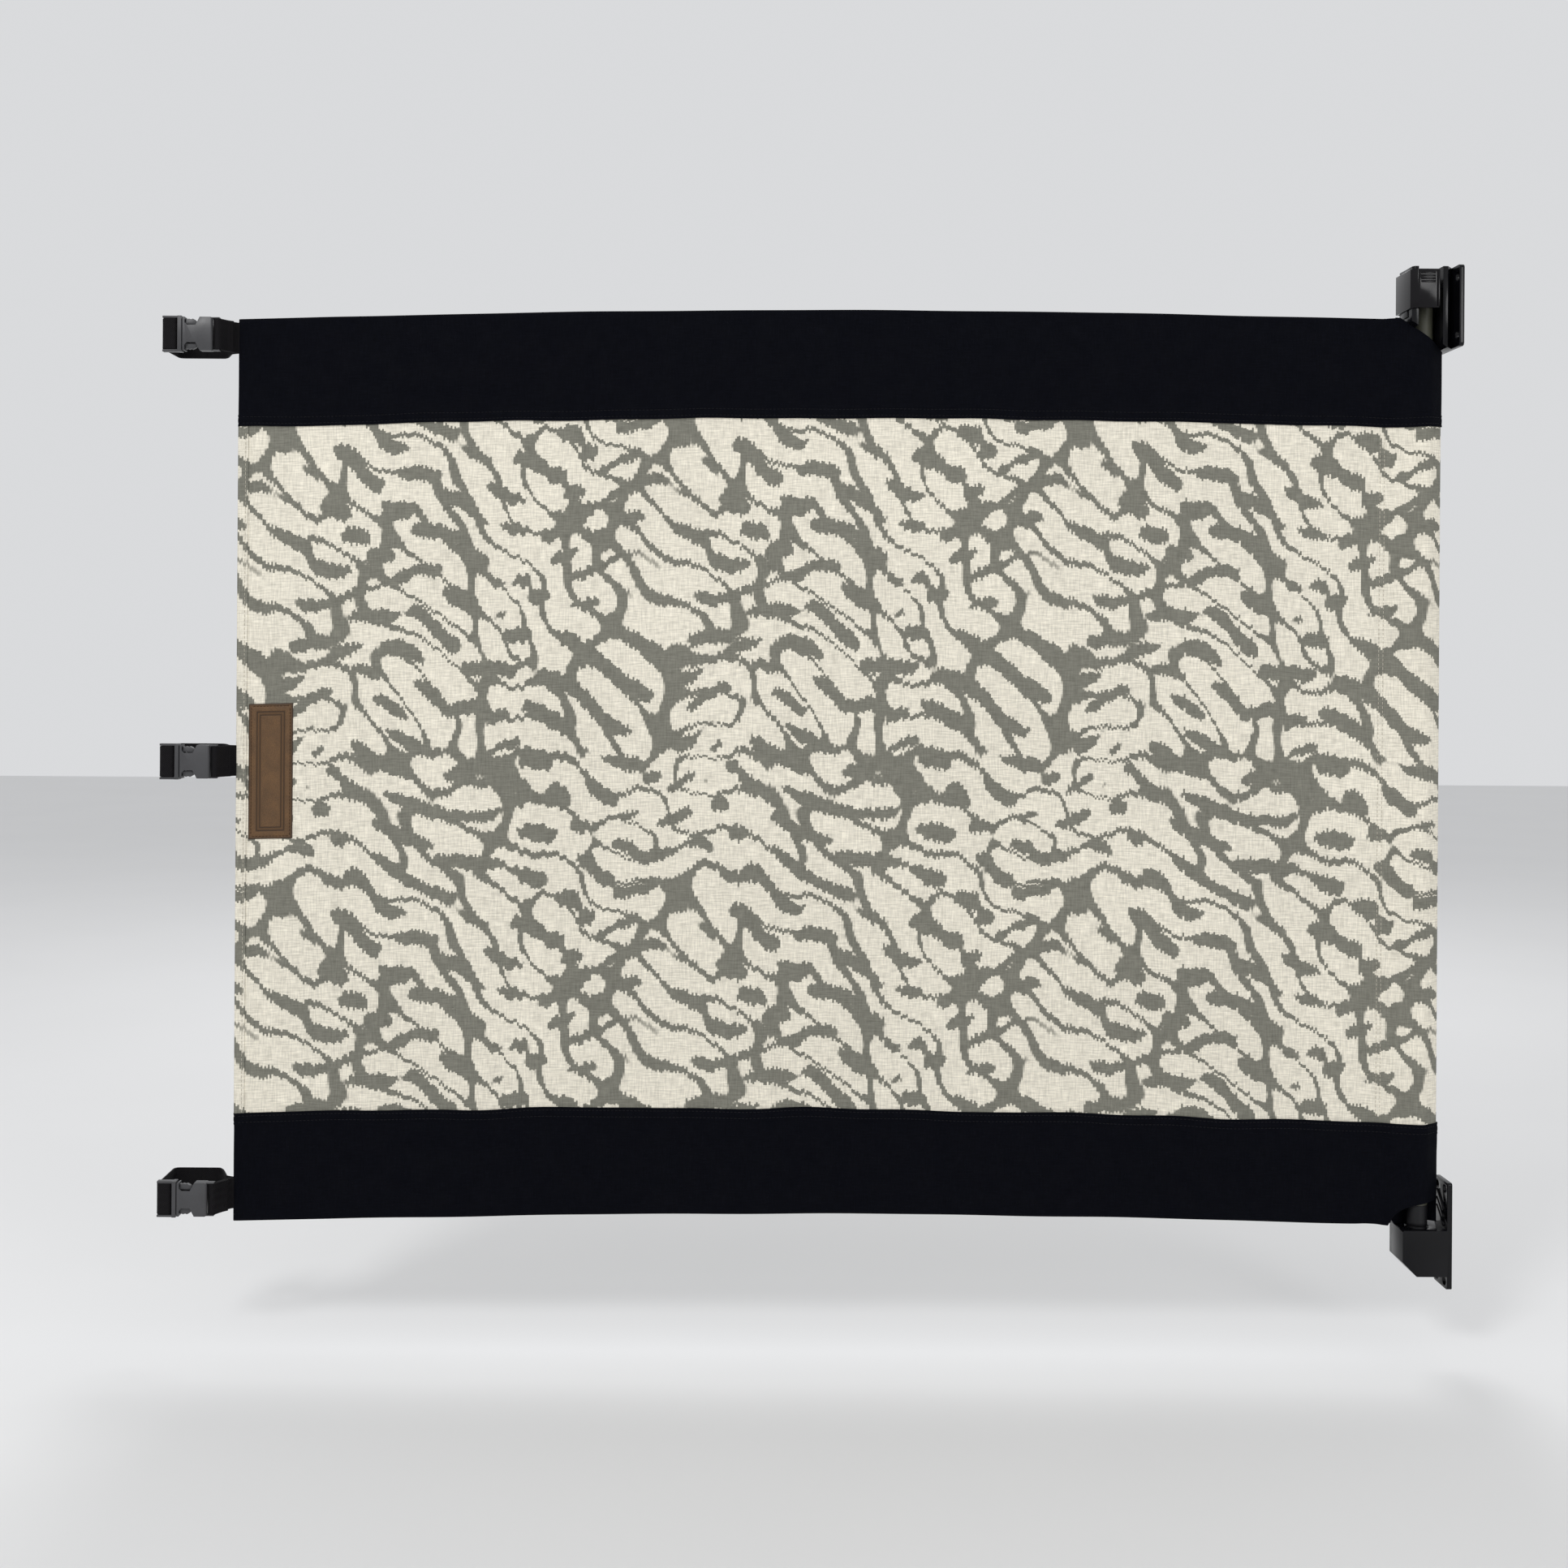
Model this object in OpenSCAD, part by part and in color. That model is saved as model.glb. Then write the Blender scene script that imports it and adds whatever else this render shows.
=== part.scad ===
// Fabric pet gate between a wall and a post.
// The wall's face is the plane x = 0 and the gate runs along -X to the post.
// -Y faces the room, +Z is up, and z = 0 is the centre of the bottom bracket's screw holes.
// Lengths are in millimetres.

/* [Fabric] */
// Width of the cloth from its post-side hem to the fold of the rod sleeve
fabric_w = 1000; // [800:10:1200]
// Height of the cloth
fabric_h = 750; // [600:10:900]
// Height of the black band along the top
top_band_h = 90; // [60:5:120]
// Height of the black band along the bottom
bottom_band_h = 85; // [60:5:120]
// Thickness of one layer of the printed cloth
cloth_t = 1.1; // [0.9:0.1:1.2]
// Thickness of the band and binding cloth
band_t = 0.75; // [0.6:0.05:0.8]
// Flat width of the sleeve that holds the rod
sleeve_w = 46; // [42:1:60]
// Width of the corner cut off the top of the sleeve
top_cut_w = 36.5; // [30:0.5:40]
// Height of the corner cut off the top of the sleeve
top_cut_h = 28; // [20:1:34]
// Height of the curved corner cut off the bottom of the sleeve
bottom_cut_h = 19; // [12:1:24]
// Width of the label patch
patch_w = 36.5; // [25:0.5:50]
// Height of the label patch
patch_h = 113; // [60:1:150]

/* [Rod] */
// Diameter of the rod
rod_d = 16; // [14:0.5:16]
// Wall thickness of the rod's tube
rod_wall = 1.2; // [1:0.1:2]
// Distance from the wall to the rod's centre
rod_out = 24; // [24:0.5:26]

/* [Wall brackets] */
// Thickness of both wall plates
plate_t = 4; // [3:0.5:5]
// Depth of the top bracket's plate, front to back
top_plate_w = 54; // [52:1:60]
// Height of the top bracket's plate
top_plate_h = 67; // [60:1:80]
// Depth of the bottom bracket's plate, front to back
bottom_plate_w = 28; // [26:1:32]
// Height of the bottom bracket's plate
bottom_plate_h = 88; // [84:1:100]
// Radius of the screw holes
screw_r = 2.25; // [1.75:0.25:2.5]
// Height of the sliding lock
lock_h = 32; // [26:1:36]

/* [Straps and buckles] */
// Width of the webbing
web_w = 25.4; // [20:0.1:26]
// Thickness of the webbing
web_t = 1.5; // [1.2:0.1:1.6]
// Side of the square post that the straps hold
post_w = 38; // [34:1:40]
// Length of the buckle's socket without its bar
socket_l = 25; // [24:0.5:28]
// Thickness of the buckle, front to back
buckle_t = 8.5; // [8:0.1:9]

/* [Hidden] */
$fn = 48;
STRAPS = ["top", "middle", "bottom"];
STRAP_PARTS = ["strap_tab", "strap_loop", "strap_tail", "buckle_socket",
               "buckle_plug", "prong_upper", "prong_lower"];

eps = 0.01;
plastic = [0.07, 0.07, 0.08];
webbing = [0.06, 0.06, 0.07];

// Places along the gate
fold_x = -8.5;
hem_x = fold_x - fabric_w;
binding_x = hem_x - 2;
hinge_x = hem_x - 4;
rod_x = -rod_out;
seam_x = fold_x - sleeve_w;
fabric_z0 = 8;
fabric_z1 = fabric_z0 + fabric_h;

// Half thicknesses of the layers in the flat cloth, and their radii round the rod
layer_gap = 0.8;
cloth_out = layer_gap + cloth_t;
band_in = cloth_out + 0.05;
band_out = band_in + band_t;
rod_r = rod_d / 2;
sleeve_r = rod_r + 0.7;
bottom_cut_w = sleeve_w - 6;

// Rod
plug_r = rod_r + 0.2;
tube_z0 = fabric_z0 + 2;
tube_z1 = fabric_z1 + 28;
rod_z0 = -17.7;
rod_z1 = fabric_z1 + 34;
insert_l = 20;

// Top bracket
top_plate_z1 = fabric_z1 + 43;
top_plate_z0 = top_plate_z1 - top_plate_h;
top_hole_z = (top_plate_z0 + top_plate_z1) / 2;
top_hole_dz = 24;
top_hole_dy = 22;
head_r = screw_r * 1.8;
cheek_gap = rod_r + 2;
cheek_t = 5;
cheek_x0 = rod_x - cheek_gap - cheek_t;
cheek_x1 = rod_x + cheek_gap;
cheek_front = -18;
back_y = rod_r + 2;
back_t = 4;

// Sliding lock
lock_z0 = fabric_z1 + 8;
lock_fit = 0.35;
lock_t = 3.6;

// Bottom bracket
cup_z0 = -33;
cup_z1 = fabric_z0 - 3;
cup_half = 15;
cup_x0 = rod_x - 17;
cup_chamfer = 11.7;
bore_r = plug_r + 0.4;
bottom_hole_dy = 8;
bottom_hole_dz = bottom_plate_h / 2 - 6;

// Straps: plan of one strap, the same at three heights
strap_z = [fabric_z1 - 20, (fabric_z0 + fabric_z1) / 2 + 3, fabric_z0 + 18];
post_x1 = hinge_x - 16.5;
post_x0 = post_x1 - post_w;
post_y0 = -11;
post_y1 = post_y0 + post_w;
buckle_y = post_y0 - 6.75;
socket_x1 = post_x1 + 2;
socket_x0 = socket_x1 - socket_l;
socket_half = 13.75;
rim_l = 2.4;
rim_half = 11.7;
window_l = 13;
window_h = 6.6;
web_half = web_w / 2;
bar_r = 1.6;
eye_r = bar_r + 0.1;
bar_gap = 0.25;
tab_bar_x = socket_x1 + eye_r + web_t + bar_gap;
plug_x1 = socket_x0 - 0.25;
shoulder_l = 3.2;
plug_bar_x = plug_x1 - shoulder_l - eye_r - web_t - bar_gap;
ladder_x = plug_bar_x - 6.6;
prong_x = plug_x1 - 1.7;
prong_z = 9;
prong_t = 3.6;
hem_end_x = hinge_x - 5;

// ---------------------------------------------------------------- outlines in plan

// Angle at which a line from point p touches the circle of radius r round the rod
function touch(p, r, side) =
    let (v = [p.x - rod_x, p.y])
    atan2(v.y, v.x) + 360 + side * acos(r / norm(v));

// One face of the front cloth: flat from start_x to the sleeve's seam, round the rod, then to the fold
function cloth_face(start_x, half, r, end_x) =
    let (a0 = touch([seam_x, -half], r, 1) % 360,
         a1 = touch([end_x, -eps], r, -1) % 360,
         steps = 8)
    concat([[start_x, -half], [seam_x, -half]],
           [for (i = [0:steps]) let (a = a0 + (a1 - a0) * i / steps) [rod_x + r * cos(a), r * sin(a)]],
           [[end_x, 0]]);

function reversed(list) = [for (i = [len(list) - 1:-1:0]) list[i]];

// Plan of a cloth layer on the room side, between two half thicknesses
module layer_plan(start_x, half_in, half_out, end_in, end_out) {
    polygon(concat(cloth_face(start_x, half_out, sleeve_r + half_out - layer_gap, end_out),
                   reversed(cloth_face(start_x, half_in, sleeve_r + half_in - layer_gap, end_in))));
}

// Both cut corners of the sleeve: straight at the top, curved at the bottom
module corner_cuts() {
    far = 40;
    translate([0, far, 0]) rotate([90, 0, 0]) linear_extrude(2 * far) {
        polygon([[fold_x - top_cut_w, fabric_z1], [fold_x, fabric_z1 - top_cut_h],
                 [0, fabric_z1 - top_cut_h], [0, fabric_z1 + 1], [fold_x - top_cut_w, fabric_z1 + 1]]);
        polygon(concat(
            [for (i = [0:8]) let (a = 90 * i / 8)
                [fold_x - bottom_cut_w * cos(a), fabric_z0 + bottom_cut_h * sin(a)]],
            [[0, fabric_z0 + bottom_cut_h], [0, fabric_z0 - 1],
             [fold_x - bottom_cut_w, fabric_z0 - 1]]));
    }
}

module both_sides() {
    children();
    mirror([0, 1, 0]) children();
}

// ---------------------------------------------------------------- the gate's cloth

module cloth_layer() {
    difference() {
        translate([0, 0, fabric_z0 + 1])
            linear_extrude(fabric_h - 2)
                layer_plan(hem_x, layer_gap, cloth_out, fold_x - cloth_t, fold_x);
        corner_cuts();
    }
}

module front_panel() {
    color([0.80, 0.78, 0.71])
        translate([0, -eps, 0]) cloth_layer();
}

module back_panel() {
    color([0.55, 0.55, 0.52])
        translate([0, eps, 0]) mirror([0, 1, 0]) cloth_layer();
}

// A band is folded over the cloth's long edge and round the post-side hem
module band(z0, height, edge_z) {
    color([0.05, 0.05, 0.06])
        difference() {
            union() {
                translate([0, 0, z0]) linear_extrude(height) {
                    both_sides() layer_plan(binding_x, band_in, band_out, fold_x + 0.05, fold_x + 0.05 + band_t);
                    translate([binding_x, -band_out]) square([band_t, 2 * band_out]);
                }
                translate([binding_x, -band_out, edge_z])
                    cube([seam_x - binding_x, 2 * band_out, band_t]);
            }
            corner_cuts();
        }
}

module top_band() {
    band(fabric_z1 - top_band_h, top_band_h, fabric_z1 - band_t);
}

module bottom_band() {
    band(fabric_z0, bottom_band_h, fabric_z0);
}

// Binding folded over the post-side edge, between the two bands
module hem_binding() {
    z0 = fabric_z0 + bottom_band_h + 0.5;
    z1 = fabric_z1 - top_band_h - 0.5;
    depth = 9;
    color([0.72, 0.70, 0.63])
        translate([binding_x, 0, z0]) linear_extrude(z1 - z0)
            difference() {
                translate([0, -band_out]) square([depth, 2 * band_out]);
                translate([band_t, -band_in]) square([depth, 2 * band_in]);
            }
}

// Flat stiffener between the two layers at the hem
module hem_batten() {
    batten_w = 20;
    batten_t = 1.4;
    color([0.85, 0.84, 0.80])
        translate([hem_x + 1.5, -batten_t / 2, fabric_z0 + 6])
            cube([batten_w, batten_t, fabric_h - 12]);
}

module label_patch() {
    patch_t = 1.2;
    corner = 2;
    gap_to_hem = 9;
    color([0.36, 0.23, 0.15])
        translate([hem_x + gap_to_hem + patch_w / 2, -cloth_out - 0.05, (fabric_z0 + fabric_z1) / 2 - 3])
            rotate([90, 0, 0]) linear_extrude(patch_t)
                rounded_plate(patch_w, patch_h, corner);
}

// Rectangle with round corners, centred
module rounded_plate(w, h, r) {
    for (sx = [-1, 1], sy = [-1, 1])
        translate([sx * (w / 2 - r), sy * (h / 2 - r)]) circle(r);
    square([w - 2 * r, h], center = true);
    square([w, h - 2 * r], center = true);
}

// ---------------------------------------------------------------- rod

module wall_rod() {
    color([0.30, 0.30, 0.29])
        translate([rod_x, 0, tube_z0])
            difference() {
                cylinder(h = tube_z1 - tube_z0, r = rod_r);
                translate([0, 0, -1]) cylinder(h = tube_z1 - tube_z0 + 2, r = rod_r - rod_wall);
            }
}

// Plug with a stem that fills the tube's end, drawn with its head upward from z = 0
module rod_plug(head_l, nose) {
    rotate_extrude()
        polygon([[0, -insert_l], [rod_r - rod_wall - 0.4, -insert_l], [rod_r - rod_wall, -insert_l + 1],
                 [rod_r - rod_wall, 0], [plug_r, 0], [plug_r, head_l - nose],
                 [plug_r - nose * 0.3, head_l - nose * 0.4], [plug_r - nose, head_l], [0, head_l]]);
}

module rod_top_plug() {
    color(plastic)
        translate([rod_x, 0, tube_z1]) rod_plug(rod_z1 - tube_z1, 3);
}

// The foot has two shallow grooves above the cup
module rod_bottom_plug() {
    groove_r = plug_r - 0.8;
    color(plastic)
        translate([rod_x, 0, tube_z0])
            difference() {
                mirror([0, 0, 1]) rod_plug(tube_z0 - rod_z0, 2.5);
                for (z = [-1.6, -4.2])
                    translate([0, 0, z]) rotate_extrude()
                        translate([groove_r, -0.5]) square([2, 1]);
            }
}

// ---------------------------------------------------------------- wall brackets

// Plate against the wall, centred at height z, with round corners
module wall_plate(w, h, z, corner) {
    translate([-plate_t, 0, z]) rotate([90, 0, 90])
        linear_extrude(plate_t) rounded_plate(w, h, corner);
}

// Four countersunk screw holes through a wall plate
module screw_holes(dy, dz, z) {
    sink_l = 2.4;
    for (sy = [-1, 1], sz = [-1, 1])
        translate([0, sy * dy, z + sz * dz]) rotate([0, -90, 0]) {
            translate([0, 0, -1]) cylinder(h = plate_t + 2, r = screw_r);
            translate([0, 0, plate_t - sink_l]) cylinder(h = sink_l + eps, r1 = screw_r, r2 = head_r);
        }
}

// Plan of the channel: outer cheek, back wall, and inner cheek that slopes back to the wall
module channel_plan() {
    chamfer = 2;
    rear = back_y + back_t;
    polygon([
        [cheek_x0 + chamfer, cheek_front], [cheek_x0 + cheek_t, cheek_front], [cheek_x0 + cheek_t, back_y],
        [cheek_x1, back_y], [cheek_x1, cheek_front], [cheek_x1 + 4, cheek_front],
        [-plate_t, cheek_front + 8], [-plate_t + eps, rear],
        [cheek_x0 + chamfer, rear], [cheek_x0, rear - chamfer], [cheek_x0, cheek_front + chamfer]
    ]);
}

module top_bracket() {
    below = 2.5;
    color(plastic)
        difference() {
            union() {
                wall_plate(top_plate_w, top_plate_h, top_hole_z, 3);
                // Channel, cut off on a slope just above the cloth's cut corner
                difference() {
                    translate([0, 0, top_plate_z0]) linear_extrude(top_plate_h) channel_plan();
                    translate([0, 40, 0]) rotate([90, 0, 0]) linear_extrude(80)
                        polygon([[fold_x - 40, top_plate_z0 - 1],
                                 [fold_x - 40, fabric_z1 - top_cut_h + below + 40 * top_cut_h / top_cut_w],
                                 [fold_x, fabric_z1 - top_cut_h + below],
                                 [-plate_t - eps, fabric_z1 - top_cut_h + below],
                                 [-plate_t - eps, top_plate_z0 - 1]]);
                }
                // Ledge that the sliding lock rests on
                translate([cheek_x0 - 1, -8, lock_z0 - 5.8]) cube([1.5, 16, 5.5]);
            }
            screw_holes(top_hole_dy, top_hole_dz, top_hole_z);
        }
}

// Clip that wraps the outer cheek and closes the front of the channel
module slide_lock() {
    wall = 1.7;
    x0 = cheek_x0 - lock_fit - wall;
    x1 = cheek_x1 - 4.5;
    front = cheek_front - lock_fit - lock_t;
    rear = back_y + back_t + lock_fit;
    chamfer = 5;
    color(plastic) {
        translate([0, 0, lock_z0]) linear_extrude(lock_h)
            polygon([[x0 + chamfer, front], [x1, front], [x1, front + lock_t],
                     [cheek_x0 - lock_fit, front + lock_t], [cheek_x0 - lock_fit, rear],
                     [cheek_x0 + cheek_t, rear], [cheek_x0 + cheek_t, rear + wall],
                     [x0 + 1, rear + wall], [x0, rear + wall - 1], [x0, front + chamfer * 0.8]]);
        // Thumb lip down the free edge, and grip bars across the face
        translate([x1 - 1.8, front - 1.4, lock_z0 + 1]) cube([1.8, 1.5, lock_h - 2]);
        for (i = [0:3])
            translate([x0 + chamfer + 2.5, front - 0.6, lock_z0 + lock_h - 11 + 2.4 * i])
                cube([x1 - x0 - chamfer - 6, 0.7, 1.1]);
    }
}

module bottom_bracket() {
    rib_w = 2.2;
    color(plastic)
        difference() {
            union() {
                wall_plate(bottom_plate_w, bottom_plate_h, 0, 2);
                // Cup with its lower outer corner cut off
                translate([0, cup_half, 0]) rotate([90, 0, 0]) linear_extrude(2 * cup_half)
                    polygon([[cup_x0, cup_z1 - 1], [cup_x0 + 1, cup_z1], [-plate_t + eps, cup_z1],
                             [-plate_t + eps, cup_z0], [cup_x0 + cup_chamfer, cup_z0],
                             [cup_x0, cup_z0 + cup_chamfer]]);
                // Slanted stiffening ribs above the cup
                for (z = [14:6.5:27])
                    translate([-plate_t - 1.3, 0, z]) rotate([40, 0, 0])
                        translate([0, -10, -rib_w / 2]) cube([1.5, 20, rib_w]);
            }
            translate([rod_x, 0, rod_z0 - 0.3]) cylinder(h = 60, r = bore_r);
            translate([rod_x, 0, cup_z1 - 1.5]) cylinder(h = 1.6, r1 = bore_r, r2 = bore_r + 1.6);
            screw_holes(bottom_hole_dy, bottom_hole_dz, 0);
        }
}

// ---------------------------------------------------------------- straps and buckles

// Webbing whose plan is a line through the given points
module web_run(points) {
    linear_extrude(web_w, center = true)
        for (i = [0:len(points) - 2]) {
            a = points[i];
            b = points[i + 1];
            translate(a) rotate(atan2(b.y - a.y, b.x - a.x))
                translate([0, -web_t / 2]) square([norm(b - a), web_t]);
            if (i > 0) translate(a) circle(web_t / 2);
        }
}

// Bar along Z, between the two sides of a buckle half
module web_bar(x, half) {
    translate([x, buckle_y, -half]) cylinder(h = 2 * half, r = bar_r);
}

function arc_points(centre, r, a0, a1, steps) =
    [for (i = [0:steps]) let (a = a0 + (a1 - a0) * i / steps) centre + r * [cos(a), sin(a)]];

// Short strap from the hem round the socket's bar, with its end turned back in front
module strap_tab() {
    turn_r = eye_r + web_t / 2;
    color(webbing)
        web_run(concat(
            [[hem_end_x, -web_t / 2 - 0.25]],
            arc_points([tab_bar_x, buckle_y], turn_r, 60, 290, 8),
            [[tab_bar_x + 3.4, buckle_y - 1.7]]));
}

// Strap from the hem round the back of the post to its front face
module strap_loop() {
    half = web_t / 2;
    r = 4;
    left = post_x0 - half;
    back = post_y1 + half;
    front = post_y0 - half;
    color(webbing)
        web_run(concat(
            [[hem_end_x, half + 0.25], [post_x1 - 1, back - 1.5], [post_x1 - 3, back]],
            arc_points([left + r, back - r], r, 90, 180, 4),
            arc_points([left + r, front + r], r, 180, 270, 4),
            [[plug_bar_x - 1, front]]));
}

// Strap end threaded over the ladder bar, round the plug's bar and back behind it
module strap_tail() {
    turn_r = eye_r + web_t / 2;
    color(webbing)
        web_run(concat(
            arc_points([ladder_x, buckle_y], turn_r, -150, -90, 4),
            arc_points([plug_bar_x, buckle_y], turn_r, -90, 90, 8),
            [[ladder_x, buckle_y + turn_r]]));
}

// Trapezoid window in one long edge of the socket, drawn at the edge z = socket_half
module window_cut() {
    translate([socket_x0 + rim_l, buckle_y + buckle_t, 0]) rotate([90, 0, 0])
        linear_extrude(2 * buckle_t)
            polygon([[0, socket_half + 1], [0, socket_half - window_h + 2], [2, socket_half - window_h],
                     [window_l - 4, socket_half - window_h], [window_l, socket_half + 1]]);
}

// Box given by its low corner and its high corner
module span(low, high) {
    translate(low) cube(high - low);
}

module buckle_socket() {
    face = 1.5;
    y0 = buckle_y - buckle_t / 2;
    y1 = buckle_y + buckle_t / 2;
    cavity_x1 = socket_x0 + rim_l + window_l - 0.5;
    color(plastic) {
        difference() {
            translate([(socket_x0 + socket_x1) / 2, y1, 0]) rotate([90, 0, 0])
                linear_extrude(buckle_t) rounded_plate(socket_l, 2 * socket_half, 1.5);
            // Cavity, open at the mouth, behind the rim
            span([socket_x0 - 1, y0 + face, -rim_half], [cavity_x1, y1 - face, rim_half]);
            span([socket_x0 + rim_l, y0 + face, -12.9], [cavity_x1, y1 - face, 12.9]);
            window_cut();
            mirror([0, 0, 1]) window_cut();
            // Bevel round the front face
            for (x = [socket_x0, socket_x1])
                translate([x, y0, 0]) rotate([0, 0, 45]) cube([1.4, 1.4, 60], center = true);
        }
        // Two side plates that carry the bar for the tab
        for (side = [-1, 1])
            translate([0, 0, side * (web_half + 0.15 + socket_half) / 2])
                span([socket_x1 - 1, buckle_y - 2.4, -(socket_half - web_half - 0.15) / 2],
                     [tab_bar_x + bar_r + 0.6, buckle_y + 2.4, (socket_half - web_half - 0.15) / 2]);
        web_bar(tab_bar_x, socket_half - 0.2);
    }
}

module buckle_plug() {
    frame_half = web_half + 2;
    arm_t = 1.7;
    frame_t = 5.4;
    shoulder_x0 = plug_x1 - shoulder_l;
    frame_x0 = ladder_x - bar_r - 1;
    slot_t = prong_t + 0.5;
    slot_l = 2.9;
    slot_half = 2.4;
    y0 = buckle_y - buckle_t / 2 + 0.2;
    y1 = buckle_y + buckle_t / 2 - 0.2;
    color(plastic) {
        difference() {
            span([shoulder_x0, y0, -frame_half], [plug_x1, y1, frame_half]);
            // Slots in which the prongs turn
            for (side = [-1, 1])
                translate([0, 0, side * prong_z])
                    span([plug_x1 - slot_l, buckle_y - slot_t / 2, -slot_half],
                         [plug_x1 + 1, buckle_y + slot_t / 2, slot_half]);
        }
        // Ladder frame: two arms, the plug's bar and the ladder bar
        for (side = [-1, 1])
            translate([0, 0, side * (frame_half - arm_t / 2)])
                span([frame_x0, buckle_y - frame_t / 2, -arm_t / 2],
                     [shoulder_x0 + eps, buckle_y + frame_t / 2, arm_t / 2]);
        web_bar(plug_bar_x, frame_half - 0.5);
        web_bar(ladder_x, frame_half - 0.5);
        // Centre tongue, pointed at its tip
        translate([0, buckle_y + 1.3, 0]) rotate([90, 0, 0]) linear_extrude(2.6)
            polygon([[plug_x1 - eps, -2], [plug_x1 + 12.5, -2], [plug_x1 + 14.5, 0],
                     [plug_x1 + 12.5, 2], [plug_x1 - eps, 2]]);
    }
}

// Upper prong: an arm from its flexing root, with a barb that fills the window
module prong() {
    arm = 1.6;
    barb_x = socket_x0 + rim_l + 0.25;
    barb_top = 12.6;
    color(plastic)
        translate([0, buckle_y + prong_t / 2, 0]) rotate([90, 0, 0]) linear_extrude(prong_t) {
            translate([prong_x, prong_z]) circle(arm / 2 + 0.3);
            polygon([[prong_x, prong_z - arm / 2], [barb_x + 8.5, prong_z - arm / 2 - 0.6],
                     [barb_x + 10.2, prong_z - 0.4], [barb_x + 8.6, prong_z + 2.2],
                     [barb_x + 6, barb_top], [barb_x + 4.4, barb_top - 0.5], [barb_x + 2.8, barb_top],
                     [barb_x + 1.2, barb_top - 0.5], [barb_x, barb_top], [barb_x, prong_z + arm / 2],
                     [prong_x, prong_z + arm / 2]]);
        }
}

// One piece of one strap, by name
module strap_piece(part) {
    if (part == "strap_tab") strap_tab();
    if (part == "strap_loop") strap_loop();
    if (part == "strap_tail") strap_tail();
    if (part == "buckle_socket") buckle_socket();
    if (part == "buckle_plug") buckle_plug();
    if (part == "prong_upper") prong();
    if (part == "prong_lower") mirror([0, 0, 1]) prong();
}

top_bracket();
slide_lock();
bottom_bracket();
wall_rod();
rod_top_plug();
rod_bottom_plug();
front_panel();
back_panel();
top_band();
bottom_band();
hem_binding();
hem_batten();
label_patch();
for (i = [0:2], part = STRAP_PARTS)
    translate([0, 0, strap_z[i]]) strap_piece(part);
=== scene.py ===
"""The looks of a fabric pet gate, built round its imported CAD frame.

Lengths are in metres, in the CAD's frame: the wall's face is x = 0 and the gate runs along -X to the post,
-Y faces the room and +Z is up. Places come from the CAD nodes' boxes.
"""

import math

import bpy
import numpy as np
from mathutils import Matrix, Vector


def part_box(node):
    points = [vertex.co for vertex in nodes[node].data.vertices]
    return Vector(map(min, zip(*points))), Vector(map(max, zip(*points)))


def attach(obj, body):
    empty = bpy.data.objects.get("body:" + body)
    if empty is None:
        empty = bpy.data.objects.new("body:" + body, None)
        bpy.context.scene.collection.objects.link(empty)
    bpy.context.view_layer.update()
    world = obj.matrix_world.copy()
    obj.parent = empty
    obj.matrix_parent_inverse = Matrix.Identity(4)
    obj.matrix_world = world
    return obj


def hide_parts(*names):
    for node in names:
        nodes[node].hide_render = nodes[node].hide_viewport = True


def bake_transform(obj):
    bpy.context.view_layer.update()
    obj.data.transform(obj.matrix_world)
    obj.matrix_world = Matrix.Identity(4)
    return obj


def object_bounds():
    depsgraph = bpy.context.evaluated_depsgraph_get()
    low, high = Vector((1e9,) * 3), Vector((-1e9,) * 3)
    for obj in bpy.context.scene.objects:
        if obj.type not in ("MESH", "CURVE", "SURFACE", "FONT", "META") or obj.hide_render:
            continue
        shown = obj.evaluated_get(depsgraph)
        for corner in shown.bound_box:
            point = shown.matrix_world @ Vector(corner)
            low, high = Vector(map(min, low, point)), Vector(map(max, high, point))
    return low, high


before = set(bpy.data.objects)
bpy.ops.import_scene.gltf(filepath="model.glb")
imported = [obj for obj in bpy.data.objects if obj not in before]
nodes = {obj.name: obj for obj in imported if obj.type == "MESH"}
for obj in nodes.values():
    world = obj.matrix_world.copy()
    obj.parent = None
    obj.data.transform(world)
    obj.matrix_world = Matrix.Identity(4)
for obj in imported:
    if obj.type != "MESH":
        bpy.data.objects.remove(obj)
cad_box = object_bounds()
MM = 0.001
STRAPS = ("top", "middle", "bottom")

# ---------------------------------------------------------------- places from the frame

panel_lo, panel_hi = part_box("front_panel")
top_lo, top_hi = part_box("top_band")
bottom_lo, bottom_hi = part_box("bottom_band")
binding_lo, binding_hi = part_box("hem_binding")
patch_lo, patch_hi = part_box("label_patch")
rod_lo, rod_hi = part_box("wall_rod")
ROD_X = (rod_lo.x + rod_hi.x) / 2
ROD_R = (rod_hi.x - rod_lo.x) / 2
HEM_X = top_lo.x            # outside of the post-side hem
FOLD_X = panel_hi.x         # outside of the fold at the rod
SLEEVE_W = 46 * MM          # flat width of the sleeve that holds the rod
SEAM_X = FOLD_X - SLEEVE_W  # where the two layers part round the rod
CLOTH_Z0, CLOTH_Z1 = bottom_lo.z, top_hi.z
CLOTH_T = 1.1 * MM
BAND_T = 0.75 * MM
PANEL_HALF = 1.35 * MM      # from the middle plane to the middle of a cloth layer
GAP_HALF = 0.8 * MM         # and to its inner face
BAND_HALF = 2.33 * MM       # and to the middle of a band's layer
SLEEVE_R = ROD_R + 0.7 * MM
HINGE_X = HEM_X - 2 * MM    # the line that the gate swings on
ARCH = 7.5 * MM             # how far the cloth bows up in the middle of its width
SAG = 4.5 * MM              # how far its top hangs lower at the straps
LIFT = 2 * MM               # how far its top is pulled up at the rod
LOW = 3 * MM                # how far the bottom band hangs below its CAD solid


def smooth(t):
    t = np.clip(t, 0, 1)
    return t * t * (3 - 2 * t)


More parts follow.
